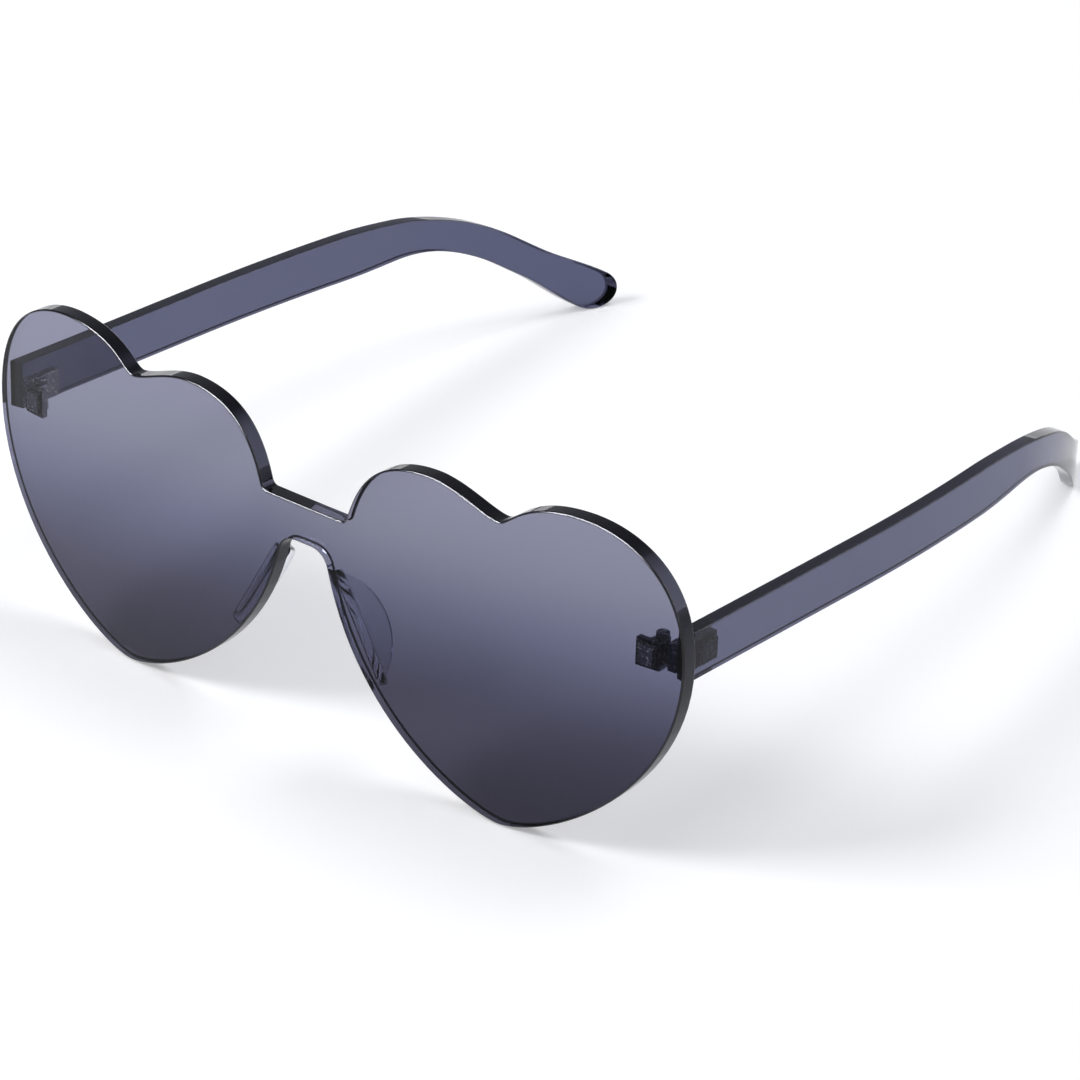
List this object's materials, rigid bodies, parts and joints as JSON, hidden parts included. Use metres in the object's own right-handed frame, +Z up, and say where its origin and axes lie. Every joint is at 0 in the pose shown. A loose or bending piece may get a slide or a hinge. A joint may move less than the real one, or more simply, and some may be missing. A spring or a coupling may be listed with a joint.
{
  "type": "sunglasses",
  "caption": "Rimless tinted sunglasses with heart shaped lenses moulded in one plate with the bridge, nose pads and folding temples on screw hinges.",
  "frame": {"origin": "middle of the bounding box in plan, on the surface the glasses stand on", "axes": "+X to the right as seen from in front of the lenses, +Y from the lenses back to the temple tips, +Z up. The glasses stand open on the heart tips and the temple tips, so the lenses lean back by 6.8 degrees"},
  "size_m": [0.148, 0.1442, 0.0585],
  "materials": {
    "tinted_plastic": "polished, translucent, tint fading from dark at the foot of the hearts to light at the top",
    "temple_plastic": "polished, translucent",
    "pad_plastic": "polished, translucent",
    "hinge_steel": "plated, satin"
  },
  "bodies": {
    "front_body": {"front": "tinted_plastic", "nose_pad_left": "pad_plastic", "nose_pad_right": "pad_plastic", "front_hinge_left": "hinge_steel", "front_hinge_right": "hinge_steel", "hinge_screw_left": "hinge_steel", "hinge_screw_right": "hinge_steel"},
    "temple_left_body": {"temple_left": "temple_plastic", "temple_hinge_left": "hinge_steel"},
    "temple_right_body": {"temple_right": "temple_plastic", "temple_hinge_right": "hinge_steel"}
  },
  "joints": [
    {"name": "temple_left_fold", "type": "hinge", "parent": "front_body", "child": "temple_left_body", "pos_m": [-0.06715, -0.05946, 0.0376], "axis": [0, -0.1182, -0.993], "range_deg": [0, 83]},
    {"name": "temple_right_fold", "type": "hinge", "parent": "front_body", "child": "temple_right_body", "pos_m": [0.06715, -0.05946, 0.0376], "axis": [0, 0.1182, 0.993], "range_deg": [0, 66]}
  ]
}
